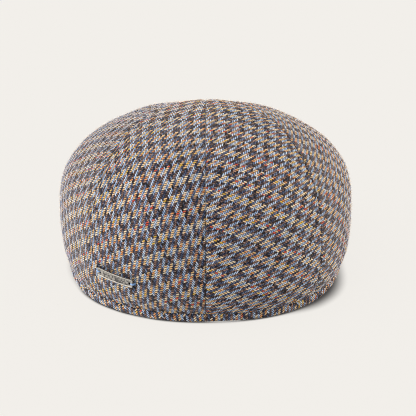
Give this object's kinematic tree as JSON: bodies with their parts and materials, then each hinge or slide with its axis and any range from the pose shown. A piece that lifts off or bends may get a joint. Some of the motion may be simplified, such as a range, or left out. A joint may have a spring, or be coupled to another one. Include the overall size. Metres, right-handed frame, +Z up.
{
  "type": "flat cap",
  "caption": "Woven wool flat cap with a panelled crown, turned hem, short curved peak and a small metal plate; open below for the head.",
  "frame": {"origin": "on the surface that the cap rests on, under the middle of its box", "axes": "+Z up, +Y towards the peak, +X to the wearer's right"},
  "size_m": [0.1926, 0.2644, 0.1189],
  "materials": {
    "wool": "fuzzy twill cloth in light blue, navy, cream, tan and brown checks",
    "plate_metal": "antique silver, satin, with a raised rim"
  },
  "bodies": {
    "root": {"back_panel_left": "wool", "back_panel_right": "wool", "side_panel_left": "wool", "side_panel_right": "wool", "front_panel_left": "wool", "front_panel_right": "wool", "hem_band": "wool", "peak": "wool", "badge_plate": "plate_metal"}
  },
  "joints": []
}
